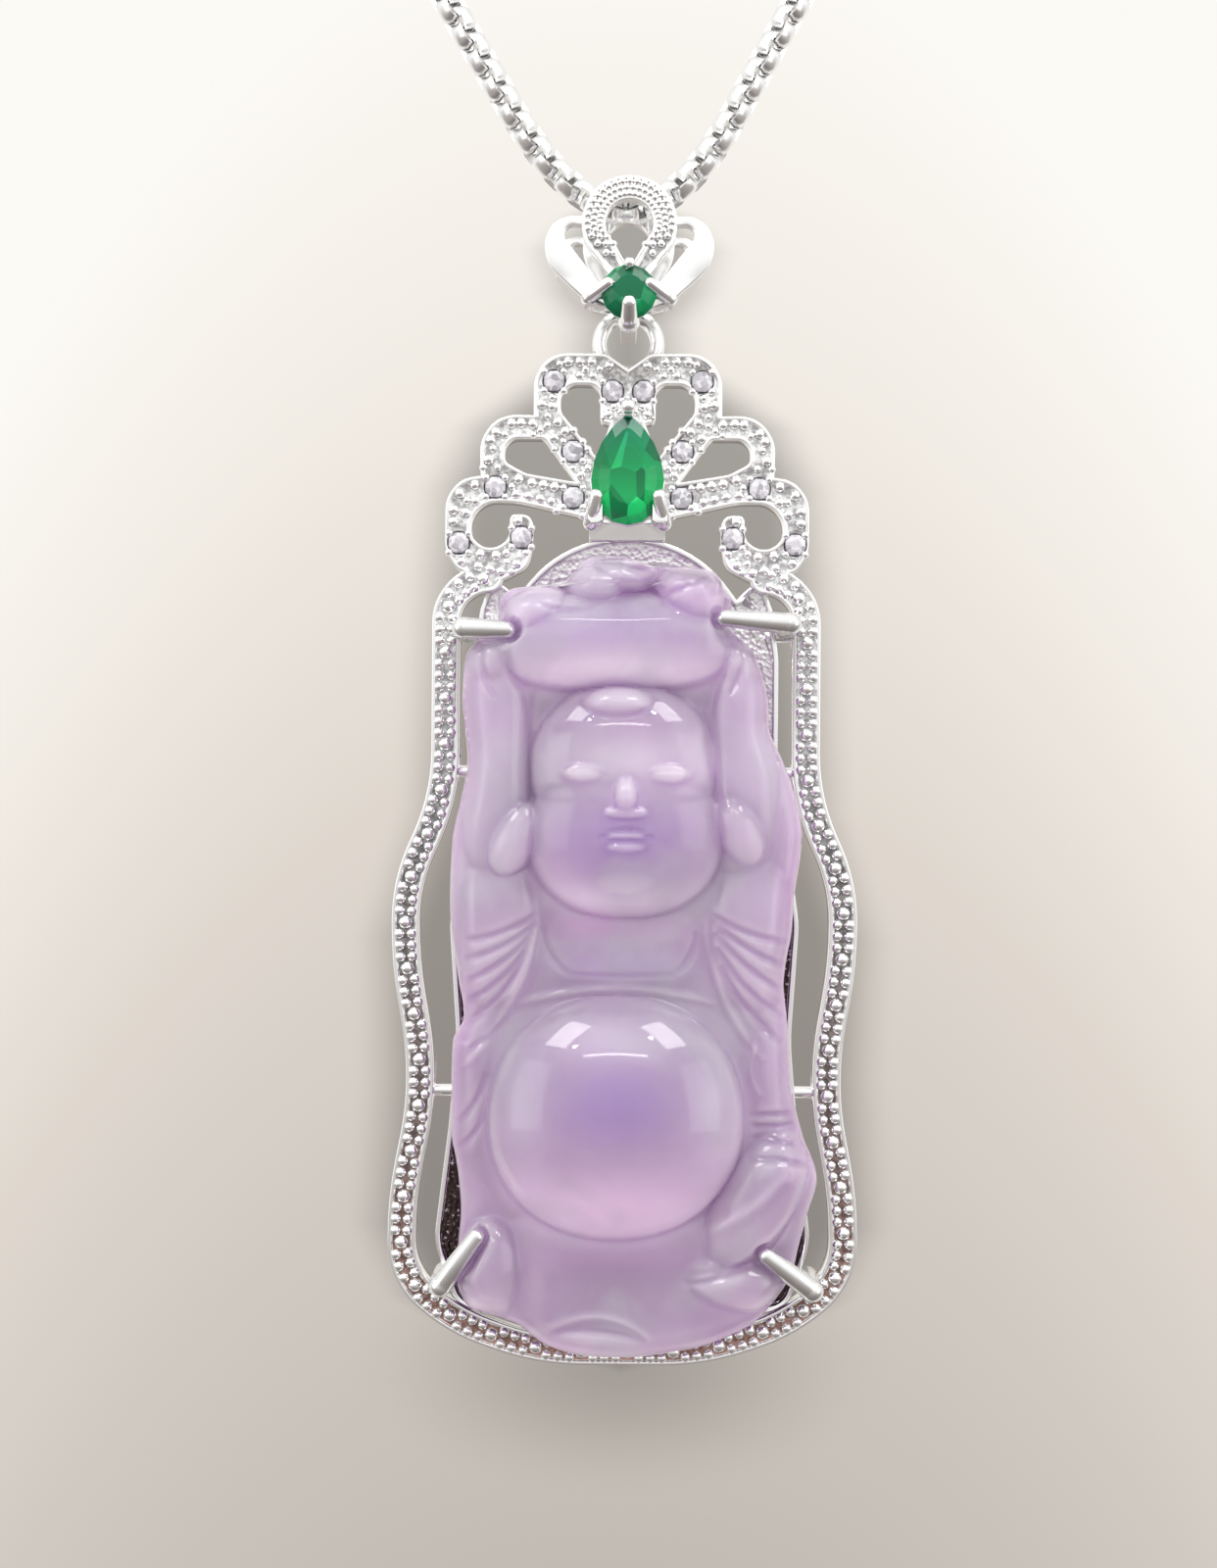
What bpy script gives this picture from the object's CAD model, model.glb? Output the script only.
import math

import bpy
import numpy as np
from mathutils import Matrix, Vector
from mathutils.kdtree import KDTree


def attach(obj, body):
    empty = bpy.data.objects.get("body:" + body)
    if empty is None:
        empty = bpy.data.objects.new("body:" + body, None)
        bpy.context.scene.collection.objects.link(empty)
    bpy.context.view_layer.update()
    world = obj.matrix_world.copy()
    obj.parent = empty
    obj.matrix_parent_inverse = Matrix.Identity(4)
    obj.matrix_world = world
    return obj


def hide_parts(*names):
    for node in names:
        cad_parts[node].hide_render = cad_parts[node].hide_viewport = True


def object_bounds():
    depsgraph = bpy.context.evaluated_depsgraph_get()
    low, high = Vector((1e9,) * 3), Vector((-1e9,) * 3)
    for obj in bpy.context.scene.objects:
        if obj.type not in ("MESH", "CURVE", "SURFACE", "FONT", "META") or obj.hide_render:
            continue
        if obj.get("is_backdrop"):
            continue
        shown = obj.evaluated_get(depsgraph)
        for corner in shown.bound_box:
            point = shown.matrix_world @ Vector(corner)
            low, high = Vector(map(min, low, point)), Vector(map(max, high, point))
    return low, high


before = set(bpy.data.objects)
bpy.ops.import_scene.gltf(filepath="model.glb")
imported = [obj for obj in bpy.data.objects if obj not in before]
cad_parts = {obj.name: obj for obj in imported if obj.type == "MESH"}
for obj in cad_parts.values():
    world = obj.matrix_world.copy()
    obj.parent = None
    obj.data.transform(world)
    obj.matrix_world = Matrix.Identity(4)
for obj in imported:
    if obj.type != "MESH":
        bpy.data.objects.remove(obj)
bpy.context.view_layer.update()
mm = 0.001

# Camera, lights and backdrop: the pendant hangs free and is seen straight from the front, from a
# hand's length away, in the soft even light of a pale studio. None of this is part of it.
view_height = math.radians(39.97)
camera_data = bpy.data.cameras.new("camera")
camera_data.sensor_width = 36.0
camera_data.lens = camera_data.sensor_width / 2 / math.tan(view_height / 2)
camera_data.clip_start = 0.002
camera_data.clip_end = 10.0
camera = bpy.data.objects.new("camera", camera_data)
camera.location = (-0.857 * mm, -228.0 * mm, -143.3 * mm)
camera.rotation_euler = (math.radians(90), math.radians(-0.4), 0)
bpy.context.scene.collection.objects.link(camera)
bpy.context.scene.camera = camera
bpy.context.scene.view_settings.view_transform = "Standard"

pendant_middle = Vector((0.0, -0.118, -0.145))
lights = [
    # name, place, width, height, power, colour
    ("left_ceiling", (-0.21, -0.27, 0.22), 0.15, 0.20, 0.46, (1.0, 0.99, 0.97)),
    ("right_ceiling", (0.21, -0.27, 0.22), 0.15, 0.20, 0.46, (1.0, 0.99, 0.97)),
    ("front_strip", (0.0, -0.60, 0.26), 0.40, 0.02, 0.20, (1.0, 0.99, 0.98)),
    ("left_light", (-0.52, -0.40, -0.06), 0.34, 0.46, 0.42, (0.98, 0.99, 1.0)),
    ("right_light", (0.52, -0.40, -0.06), 0.34, 0.46, 0.42, (0.98, 0.99, 1.0)),
    ("low_light", (0.0, -0.34, -0.50), 0.50, 0.30, 0.75, (1.0, 0.97, 1.0)),
    ("left_spark", (-0.14, -0.33, 0.10), 0.014, 0.014, 0.030, (1.0, 1.0, 1.0)),
    ("right_spark", (0.12, -0.30, 0.14), 0.014, 0.014, 0.030, (1.0, 1.0, 1.0)),
]
for name, place, width, height, power, colour in lights:
    lamp = bpy.data.lights.new(name, "AREA")
    lamp.shape = "RECTANGLE"
    lamp.size = width
    lamp.size_y = height
    lamp.energy = power
    lamp.color = colour
    holder = bpy.data.objects.new(name, lamp)
    holder.location = place
    holder.rotation_euler = (pendant_middle - Vector(place)).to_track_quat("-Z", "Y").to_euler()
    holder.visible_glossy = name != "low_light"
    bpy.context.scene.collection.objects.link(holder)


def fill_inputs(tree, node, inputs):
    """Gives a node's inputs, by name or by number, a value or another node's output."""
    for key, value in inputs.items():
        if isinstance(value, bpy.types.NodeSocket):
            tree.links.new(value, node.inputs[key])
        else:
            node.inputs[key].default_value = value


def add_node(tree, kind, inputs=None, **settings):
    """A shader node with its settings and inputs."""
    made = tree.nodes.new(kind)
    for key, value in settings.items():
        setattr(made, key, value)
    fill_inputs(tree, made, inputs or {})
    return made


def stretched(tree, source, low, high, to_low=0.0, to_high=1.0, steps="LINEAR"):
    """A node's output, with one range of values stretched to another."""
    ends = {"From Min": low, "From Max": high, "To Min": to_low, "To Max": to_high}
    return add_node(
        tree, "ShaderNodeMapRange", {"Value": source, **ends}, interpolation_type=steps
    ).outputs["Result"]


def coordinates(tree, kind="Object"):
    """Where a point lies, and the same split into its axes."""
    place = add_node(tree, "ShaderNodeTexCoord").outputs[kind]
    return place, add_node(tree, "ShaderNodeSeparateXYZ", {0: place}).outputs


def new_finish(name):
    """An empty material, with its tree and its surface shader."""
    finish = bpy.data.materials.new(name)
    finish.use_nodes = True
    return finish, finish.node_tree, finish.node_tree.nodes["Principled BSDF"]


def colour_steps(tree, source, steps):
    """A colour ramp fed by a node's output, from pairs of position and colour."""
    ramp = add_node(tree, "ShaderNodeValToRGB", {"Fac": source})
    while len(ramp.color_ramp.elements) < len(steps):
        ramp.color_ramp.elements.new(0.5)
    for element, (place, colour) in zip(ramp.color_ramp.elements, steps):
        element.position = place
        element.color = (*colour, 1.0)
    return ramp.outputs["Color"]


world = bpy.data.worlds.new("studio")
world.use_nodes = True
bpy.context.scene.world = world
tree = world.node_tree
_, sky_axes = coordinates(tree, "Generated")
sky_tones = colour_steps(
    tree,
    stretched(tree, sky_axes["Z"], -1.0, 1.0),
    [
        (0.0, (0.20, 0.18, 0.17)),
        (0.36, (0.48, 0.44, 0.42)),
        (0.49, (0.80, 0.79, 0.78)),
        (0.57, (1.08, 1.08, 1.07)),
        (1.0, (1.12, 1.12, 1.12)),
    ],
)
seen_share = add_node(tree, "ShaderNodeLightPath").outputs["Is Camera Ray"]
seen_tone = (0.75, 0.695, 0.63, 1.0)
seen_sky = add_node(
    tree, "ShaderNodeMixRGB", {"Fac": seen_share, "Color1": sky_tones, "Color2": seen_tone}
)
fill_inputs(tree, tree.nodes["Background"], {"Color": seen_sky.outputs["Color"], "Strength": 1.0})

# The backdrop's paper is lit from its own glow: paler towards the top and the sides, and shaded
# behind the pendant, as wide as the pendant at each level, with one more soft spot at its foot.
backdrop_size = 8.0
backdrop_y = 0.62
shade_middle = 0.0055
shade_widths = [
    # level, from the lowest shade up, and half the shade's width there, both as shares
    (0.000, 0.00),
    (0.118, 0.00),
    (0.158, 0.66),
    (0.174, 0.80),
    (0.228, 0.92),
    (0.335, 0.89),
    (0.436, 0.91),
    (0.529, 0.78),
    (0.700, 0.75),
    (0.764, 0.72),
    (0.809, 0.61),
    (0.836, 0.44),
    (0.858, 0.28),
    (0.884, 0.27),
    (0.907, 0.35),
    (0.938, 0.38),
    (0.964, 0.26),
    (0.987, 0.00),
]
shade_half_width = 0.12
shade_softness = 0.034
shade_strength = 0.44
foot_level = -0.371
foot_half_width = 0.11
foot_half_height = 0.055
foot_strength = 0.64

bpy.ops.object.select_all(action="DESELECT")
bpy.ops.mesh.primitive_plane_add(size=backdrop_size, rotation=(math.radians(90), 0, 0))
backdrop = bpy.context.active_object
backdrop.name = "backdrop"
backdrop.location = (0, backdrop_y, -0.143)
bpy.ops.object.transform_apply(location=True, rotation=True, scale=True)

backdrop_finish, tree, surface = new_finish("backdrop_paper")
tree.nodes.remove(surface)
place, axes = coordinates(tree)
sideways = add_node(tree, "ShaderNodeMath", {0: axes["X"], 1: 2.0}, operation="POWER")
level = stretched(tree, axes["Z"], -0.46, 0.20)
lift = add_node(
    tree, "ShaderNodeMath", {0: sideways.outputs[0], 1: 5.0, 2: level}, operation="MULTIPLY_ADD"
)
paper_tones = colour_steps(
    tree,
    lift.outputs[0],
    [
        (0.0, (0.54, 0.495, 0.45)),
        (0.25, (0.62, 0.575, 0.53)),
        (0.50, (0.74, 0.68, 0.62)),
        (0.80, (0.90, 0.86, 0.80)),
        (1.0, (0.97, 0.95, 0.91)),
    ],
)
shade_reach = colour_steps(
    tree,
    stretched(tree, axes["Z"], -0.44, 0.10),
    [(share, (width, width, width)) for share, width in shade_widths],
)
aside = add_node(tree, "ShaderNodeMath", {0: axes["X"], 1: -shade_middle}, operation="ADD")
aside_size = add_node(tree, "ShaderNodeMath", {0: aside.outputs[0]}, operation="ABSOLUTE")
beyond = add_node(
    tree,
    "ShaderNodeMath",
    {0: shade_reach, 1: -shade_half_width, 2: aside_size.outputs[0]},
    operation="MULTIPLY_ADD",
)
shade = stretched(
    tree, beyond.outputs[0], -shade_softness, 0.0, shade_strength, 1.0, "SMOOTHSTEP"
)
round_the_foot = add_node(
    tree,
    "ShaderNodeMapping",
    {
        "Vector": place,
        "Scale": (1 / foot_half_width, 0.0, 1 / foot_half_height),
        "Location": (-shade_middle / foot_half_width, 0.0, -foot_level / foot_half_height),
    },
)
foot_spot = add_node(
    tree,
    "ShaderNodeTexGradient",
    {"Vector": round_the_foot.outputs["Vector"]},
    gradient_type="SPHERICAL",
)
foot_shade = stretched(
    tree, foot_spot.outputs["Fac"], 0.0, 1.0, 1.0, foot_strength, "SMOOTHSTEP"
)
all_shade = add_node(tree, "ShaderNodeMath", {0: shade, 1: foot_shade}, operation="MULTIPLY")
glow = add_node(
    tree, "ShaderNodeEmission", {"Color": paper_tones, "Strength": all_shade.outputs[0]}
)
tree.links.new(glow.outputs[0], tree.nodes["Material Output"].inputs["Surface"])
backdrop.data.materials.append(backdrop_finish)
backdrop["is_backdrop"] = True

# Chain: a round box chain, 1.5 mm across, of bright plated silver. Each link is a short square
# loop of flat strip with rounded outsides, set at right angles to the next and soldered shut.
chain_dia = 1.5 * mm
link_pitch = 1.56 * mm
link_length = 1.38 * mm
strip_width = 0.76 * mm
strip_thick = 0.24 * mm
corner_cut = 0.38 * mm
edge_fall = 0.87
end_fall = 0.95
chain_turn = math.radians(60)
chain_route = [
    (-5.0, 0.0, 0.0),
    (-21.5, 0.0, 0.0),
    (-43.0, -24.0, -0.4),
    (-53.8, -53.5, -5.4),
    (-48.8, -83.0, -23.0),
    (-35.4, -104.4, -53.6),
    (-19.4, -115.6, -85.6),
    (-9.2, -118.0, -103.7),
    (-3.0, -118.0, -114.0),
    (2.7, -118.0, -114.0),
    (8.3, -118.0, -103.6),
    (18.2, -115.6, -85.4),
    (34.6, -104.6, -53.5),
    (48.4, -83.0, -23.0),
    (53.8, -53.5, -5.4),
    (43.0, -24.0, -0.4),
    (21.5, 0.0, 0.0),
    (5.0, 0.0, 0.0),
]


def noise(tree, place, scale, detail, distortion=0.0):
    """Cloudy noise at a scale, 0 to 1."""
    inputs = {"Vector": place, "Scale": scale, "Detail": detail, "Distortion": distortion}
    return add_node(tree, "ShaderNodeTexNoise", inputs).outputs["Fac"]


def bumped(tree, height, strength):
    """The surface's direction, roughened by a height of up to a tenth of a millimetre."""
    inputs = {"Height": height, "Strength": strength, "Distance": 0.1 * mm}
    return add_node(tree, "ShaderNodeBump", inputs).outputs["Normal"]


def silver_finish(name, colour, roughness, scratch_depth=0.03, scratch_scale=900.0):
    """Bright plated silver: slightly uneven in gloss, with the faint ripple of hand polishing."""
    finish, tree, surface = new_finish(name)
    place = add_node(tree, "ShaderNodeTexCoord").outputs["Object"]
    ripple = noise(tree, place, scratch_scale, 3.0)
    silver = {
        "Base Color": (*colour, 1.0),
        "Metallic": 1.0,
        "Roughness": stretched(tree, ripple, 0.3, 0.7, roughness * 0.7, roughness * 1.4),
        "Normal": bumped(tree, ripple, scratch_depth),
    }
    fill_inputs(tree, surface, silver)
    return finish


def start_piece(name):
    """The primitive just added, named."""
    piece = bpy.context.active_object
    piece.name = name
    piece.data.name = name
    return piece


def select_only(piece):
    bpy.ops.object.select_all(action="DESELECT")
    piece.select_set(True)
    bpy.context.view_layer.objects.active = piece


def apply_all(piece):
    """Applies a piece's modifiers in order."""
    select_only(piece)
    for modifier in list(piece.modifiers):
        bpy.ops.object.modifier_apply(modifier=modifier.name)


chain_silver = silver_finish("chain_silver", (0.90, 0.90, 0.90), 0.20)

bpy.ops.object.select_all(action="DESELECT")
bpy.ops.mesh.primitive_cube_add(size=1.0)
link = start_piece("link")
link.scale = (link_length, strip_width, chain_dia)
bpy.ops.object.transform_apply(location=False, rotation=False, scale=True)
bpy.ops.object.mode_set(mode="EDIT")
bpy.ops.mesh.select_mode(type="FACE")
bpy.ops.mesh.select_all(action="DESELECT")
bpy.ops.object.mode_set(mode="OBJECT")
for face in link.data.polygons:
    face.select = abs(face.normal.y) > 0.9
bpy.ops.object.mode_set(mode="EDIT")
bpy.ops.mesh.delete(type="ONLY_FACE")
bpy.ops.mesh.select_mode(type="EDGE")
bpy.ops.mesh.select_all(action="DESELECT")
bpy.ops.object.mode_set(mode="OBJECT")
for edge in link.data.edges:
    one, two = (link.data.vertices[i].co for i in edge.vertices)
    edge.select = abs(one.y - two.y) > strip_width / 2
bpy.ops.object.mode_set(mode="EDIT")
bpy.ops.mesh.bevel(offset=corner_cut, offset_type="OFFSET", segments=2, affect="EDGES")
bpy.ops.mesh.select_all(action="SELECT")
bpy.ops.mesh.bisect(plane_co=(0, 0, 0), plane_no=(0, 1, 0))
bpy.ops.object.mode_set(mode="OBJECT")
for corner in link.data.vertices:
    if abs(corner.co.y) > strip_width / 4:
        corner.co.z *= edge_fall
        corner.co.x *= end_fall
wall = link.modifiers.new("strip", "SOLIDIFY")
wall.thickness = strip_thick
wall.offset = -1.0
apply_all(link)
bpy.ops.object.shade_smooth_by_angle(angle=math.radians(50))
bpy.ops.object.duplicate()
cross_link = bpy.context.active_object
quarter_turn = Matrix.Rotation(math.pi / 2, 4, "X")
cross_link.data.transform(Matrix.Translation((link_pitch / 2, 0, 0)) @ quarter_turn)
link.select_set(True)
cross_link.select_set(True)
bpy.context.view_layer.objects.active = link
bpy.ops.object.join()
link.data.transform(Matrix.Rotation(chain_turn, 4, "X"))

route_curve = bpy.data.curves.new("chain_route", "CURVE")
route_curve.dimensions = "3D"
route_curve.resolution_u = 48
route_curve.twist_mode = "MINIMUM"
route_line = route_curve.splines.new("NURBS")
route_line.points.add(len(chain_route) - 1)
for point, (x, y, z) in zip(route_line.points, chain_route):
    point.co = (x * mm, y * mm, z * mm, 1.0)
route_line.order_u = 3
route_line.use_endpoint_u = True
route = bpy.data.objects.new("chain_route", route_curve)
bpy.context.scene.collection.objects.link(route)

pair_count = int(route_line.calc_length() / link_pitch)
repeat = link.modifiers.new("links", "ARRAY")
repeat.count = pair_count
repeat.use_relative_offset = False
repeat.use_constant_offset = True
repeat.constant_offset_displace = (route_line.calc_length() / pair_count, 0, 0)
follow = link.modifiers.new("route", "CURVE")
follow.object = route
follow.deform_axis = "POS_X"
apply_all(link)
bpy.data.objects.remove(route)
link.name = "chain_links"
link.data.materials.append(chain_silver)
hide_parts("chain")
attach(link, "chain")

# Clasp: a plain barrel clasp at the back of the neck, turned from silver and polished, with its
# edges broken. Both ends of the chain are soldered into it.


def finished_copy(node, name, edge_width, finish, smooth_angle=40):
    """A copy of a CAD node with its sharp edges broken, as polishing leaves them."""
    piece = bpy.data.objects.new(name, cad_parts[node].data.copy())
    bpy.context.scene.collection.objects.link(piece)
    piece.data.name = name
    select_only(piece)
    bpy.ops.object.mode_set(mode="EDIT")
    bpy.ops.mesh.select_all(action="SELECT")
    bpy.ops.mesh.remove_doubles(threshold=0.002 * mm)
    bpy.ops.object.mode_set(mode="OBJECT")
    edges = piece.modifiers.new("edges", "BEVEL")
    edges.width = edge_width
    edges.segments = 2
    edges.limit_method = "ANGLE"
    edges.angle_limit = math.radians(38)
    edges.use_clamp_overlap = False
    apply_all(piece)
    bpy.ops.object.shade_smooth_by_angle(angle=math.radians(smooth_angle))
    piece.data.materials.clear()
    piece.data.materials.append(finish)
    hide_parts(node)
    return piece


polished_silver = silver_finish("polished_silver", (0.93, 0.93, 0.93), 0.13)
clasp_barrel = finished_copy("clasp", "clasp_barrel", 0.06 * mm, polished_silver)
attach(clasp_barrel, "chain")

# Bail: a pierced loop between two polished wings, with a smaller leaf behind, an arched strap over
# the chain and a hook strap under the ring, cast in silver and soldered. Its undersides are left
# satin, and the loop's sunk floor is rough.
hang_point = Vector((0.0, -118.0, -114.0)) * mm
bail_leaf = 0.65 * mm
bail_inside_depth = 4.0 * mm
loop_radius = 2.39 * mm
loop_top = 1.05 * mm
loop_hole_radius = 1.19 * mm
relief_depth = 0.12 * mm
leaf_front = hang_point.y - bail_inside_depth / 2 - bail_leaf
same_level = 0.02 * mm

satin_silver, tree, surface = new_finish("satin_silver")
place = add_node(tree, "ShaderNodeTexCoord").outputs["Object"]
satin = {
    "Base Color": (0.72, 0.69, 0.67, 1.0),
    "Metallic": 0.5,
    "Roughness": 0.42,
    "Normal": bumped(tree, noise(tree, place, 3800.0, 3.0), 0.25),
}
fill_inputs(tree, surface, satin)

recess_silver, tree, surface = new_finish("recess_silver")
place, axes = coordinates(tree)
floor_tones = colour_steps(
    tree,
    stretched(tree, axes["Z"], -0.172, -0.112),
    [
        (0.0, (0.46, 0.28, 0.24)),
        (0.20, (0.30, 0.24, 0.23)),
        (0.42, (0.34, 0.33, 0.34)),
        (0.62, (0.88, 0.88, 0.89)),
        (0.82, (0.92, 0.92, 0.92)),
        (0.88, (0.50, 0.49, 0.49)),
    ],
)
grit = noise(tree, place, 3600.0, 3.0)
dark_grit = stretched(tree, grit, 0.42, 0.58, 0.55)
gritty = add_node(
    tree, "ShaderNodeVectorMath", {0: floor_tones, "Scale": dark_grit}, operation="SCALE"
)
recess = {
    "Base Color": gritty.outputs["Vector"],
    "Metallic": 1.0,
    "Roughness": 0.34,
    "Normal": bumped(tree, grit, 0.5),
}
fill_inputs(tree, surface, recess)

bail_body = finished_copy("bail", "bail_body", 0.05 * mm, polished_silver)
bail_body.data.materials.append(satin_silver)
bail_body.data.materials.append(recess_silver)
for face in bail_body.data.polygons:
    on_floor = abs(face.center.y - leaf_front - relief_depth) < same_level
    if face.normal.z < -0.8:
        face.material_index = 1
    if face.normal.y < -0.95 and on_floor:
        face.material_index = 2
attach(bail_body, "bail")

# Prongs of the round stone: four short silver rods with round ends, soldered to the bail's collet
# and pressed over the stone's edge.
bail_drop = 5.4 * mm
round_stone_dia = 2.76 * mm
stone_level = hang_point.z - 4.88 * mm
prong_dia = 0.56 * mm
middle_swell = 1.04


def smooth_prongs(name, prongs, finish):
    """Round tapered prongs with ball ends, from pairs of end points and diameters, as one mesh."""
    bpy.ops.object.select_all(action="DESELECT")
    made = []
    for start, end, start_dia, end_dia in prongs:
        run = Vector(end) - Vector(start)
        bpy.ops.mesh.primitive_uv_sphere_add(segments=28, ring_count=20, radius=1.0)
        prong = start_piece(name)
        for point in prong.data.vertices:
            x, y, z = point.co
            share = 1.0 if z > 0 else 0.0
            radius = (end_dia if z > 0 else start_dia) / 2
            if abs(z) < 0.001:
                share = 0.5
                radius = (start_dia + end_dia) / 4 * middle_swell
            point.co = (x * radius, y * radius, z * radius + share * run.length)
        turn = run.to_track_quat("Z", "Y").to_matrix().to_4x4()
        prong.data.transform(Matrix.Translation(start) @ turn)
        bpy.ops.object.shade_smooth()
        made.append(prong)
    select_only(made[0])
    for prong in made:
        prong.select_set(True)
    bpy.ops.object.join()
    joined = start_piece(name)
    joined.data.materials.append(finish)
    return joined


round_table = leaf_front - 0.35 * mm - 0.15 * round_stone_dia
bail_prongs = [
    (
        (side * 2.05 * mm, leaf_front + 0.25 * mm, stone_level - 0.20 * mm),
        (side * 1.02 * mm, round_table + 0.05 * mm, stone_level + 0.38 * mm),
        prong_dia * 1.3,
        prong_dia * 0.98,
    )
    for side in (-1, 1)
]
bail_prongs.append(
    (
        (0.0, leaf_front + 0.15 * mm, stone_level - round_stone_dia / 2 - 0.02 * mm),
        (0.0, round_table - 0.04 * mm, stone_level - 0.62 * mm),
        prong_dia * 1.9,
        prong_dia * 1.37,
    )
)
bail_prongs.append(
    (
        (0.0, leaf_front - 0.20 * mm, stone_level + round_stone_dia / 2),
        (0.0, round_table + 0.10 * mm, stone_level + round_stone_dia / 2),
        prong_dia * 1.02,
        prong_dia * 1.02,
    )
)
round_stone_prongs = smooth_prongs("round_stone_prongs", bail_prongs, polished_silver)
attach(round_stone_prongs, "bail")

# Grains of the loop: three rows of small silver beads, raised from the floor of the bail's loop
# with a beading tool, and left bright.
loop_middle = loop_top - loop_radius
loop_foot_turn = math.radians(38)
loop_narrowing = 0.45
loop_lengthening = 0.9
loop_row_grains = 27
loop_grain_dia = 0.43 * mm
grain_silver = silver_finish("grain_silver", (0.94, 0.94, 0.94), 0.12, 0.02)


def grain_field(name, grains, depth):
    """Silver grains as one mesh: low domes at places given as across, up and diameter."""
    bpy.ops.object.select_all(action="DESELECT")
    bpy.ops.mesh.primitive_uv_sphere_add(segments=8, ring_count=6, radius=0.5)
    pattern = start_piece(name)
    bpy.ops.object.mode_set(mode="EDIT")
    bpy.ops.mesh.select_all(action="SELECT")
    bpy.ops.mesh.bisect(plane_co=(0, 0, -0.05), plane_no=(0, 0, 1), clear_inner=True)
    bpy.ops.object.mode_set(mode="OBJECT")
    pattern.data.transform(Matrix.Rotation(math.pi / 2, 4, "X"))
    bpy.ops.object.shade_smooth()
    copies = []
    for x, z, dia in grains:
        copy = pattern.copy()
        copy.data = pattern.data.copy()
        place = Matrix.Translation((x, depth, z)) @ Matrix.Diagonal((dia, dia, dia, 1.0))
        copy.data.transform(place)
        bpy.context.scene.collection.objects.link(copy)
        copies.append(copy)
    bpy.data.objects.remove(pattern)
    bpy.ops.object.select_all(action="DESELECT")
    for copy in copies:
        copy.select_set(True)
    bpy.context.view_layer.objects.active = copies[0]
    bpy.ops.object.join()
    field = start_piece(name)
    field.data.materials.clear()
    field.data.materials.append(grain_silver)
    return field


loop_grains = []
for share in (0.24, 0.50, 0.76):
    radius = loop_hole_radius + share * (loop_radius - loop_hole_radius)
    stagger = 0.5 if share == 0.50 else 0.0
    for i in range(loop_row_grains):
        swept = (i + stagger) / (loop_row_grains - 1) * (math.pi + 2 * loop_foot_turn)
        turn = swept - loop_foot_turn
        x, z = radius * math.cos(turn), radius * math.sin(turn)
        below = max(-turn, turn - math.pi)
        if below > 0:
            x = math.copysign(radius * (1 - loop_narrowing * (below / loop_foot_turn) ** 2), x)
            z = -loop_lengthening * radius * math.tan(below)
        loop_grains.append((x, hang_point.z + loop_middle + z, loop_grain_dia))
bail_grains = grain_field("bail_grains", loop_grains, leaf_front + 0.10 * mm)
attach(bail_grains, "bail")

# Green stones: a round stone in the bail and a pear in the crown, clear emerald glass whose cut
# back throws light and dark patches. Prongs hold both in their collets.
green_tones = [
    (0.0, (0.0, 0.05, 0.016)),
    (0.25, (0.0, 0.17, 0.055)),
    (0.45, (0.002, 0.30, 0.085)),
    (0.70, (0.004, 0.42, 0.115)),
    (1.0, (0.02, 0.70, 0.20)),
]
round_shades = [
    (0.0, (0.5, 0.5, 0.6)),
    (0.40, (1.1, 1.0, 1.25)),
    (0.75, (1.25, 1.15, 1.5)),
    (1.0, (0.7, 0.6, 0.8)),
]
pear_shades = [
    (0.0, (0.9, 0.9, 0.9)),
    (0.25, (1.35, 1.4, 1.3)),
    (0.55, (0.85, 0.78, 0.85)),
    (1.0, (0.9, 0.42, 0.95)),
]
even_shade = [(0.0, (1, 1, 1))]
green_stretch = (1.0, 0.2, 0.62)
green_clearness = 0.15


def cut_stone_finish(name, tones, cell_scale, stretch, clearness, low, high, shades):
    """Cut glass: the patches of light and dark that its back facets throw, shaded up the stone."""
    finish, tree, surface = new_finish(name)
    place, axes = coordinates(tree)
    flatten = add_node(tree, "ShaderNodeMapping", {"Vector": place, "Scale": stretch})
    facet_inputs = {"Vector": flatten.outputs["Vector"], "Scale": cell_scale}
    facets = add_node(tree, "ShaderNodeTexVoronoi", facet_inputs)
    shaded_inputs = {
        "Fac": 1.0,
        "Color1": colour_steps(tree, facets.outputs["Color"], tones),
        "Color2": colour_steps(tree, stretched(tree, axes["Z"], low, high), shades),
    }
    shaded = add_node(tree, "ShaderNodeMixRGB", shaded_inputs, blend_type="MULTIPLY")
    glass = {
        "Base Color": shaded.outputs["Color"],
        "Roughness": 0.05,
        "IOR": 1.55,
        "Specular IOR Level": 0.3,
        "Transmission Weight": clearness,
    }
    fill_inputs(tree, surface, glass)
    return finish


green_stones = [("round_stone", 900.0, round_shades), ("pear_stone", 1150.0, pear_shades)]
for node, scale, shades in green_stones:
    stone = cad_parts[node]
    levels = [corner.co.z for corner in stone.data.vertices]
    low, high = min(levels), max(levels)
    green_glass = cut_stone_finish(
        node, green_tones, scale, green_stretch, green_clearness, low, high, shades
    )
    stone.data.materials.clear()
    stone.data.materials.append(green_glass)

# Setting: ring, pierced crown, waisted rail, recessed tray and thin bars, cast in silver as one
# piece and soldered. The tray's front is hammered, bright above and dark with specks below, and
# the sunk floor of crown and rail is rough.
ring_top = hang_point - Vector((0, 0, bail_drop))
crown_drop = 13.5 * mm
crown_reach = 9.23 * mm
metal_thick = 1.3 * mm
rail_half = 11.22 * mm
rail_height = 39.2 * mm
tray_plate_front = ring_top.y + metal_thick / 2 - 0.5 * mm
grain_floor_front = ring_top.y - metal_thick / 2 + relief_depth

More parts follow.
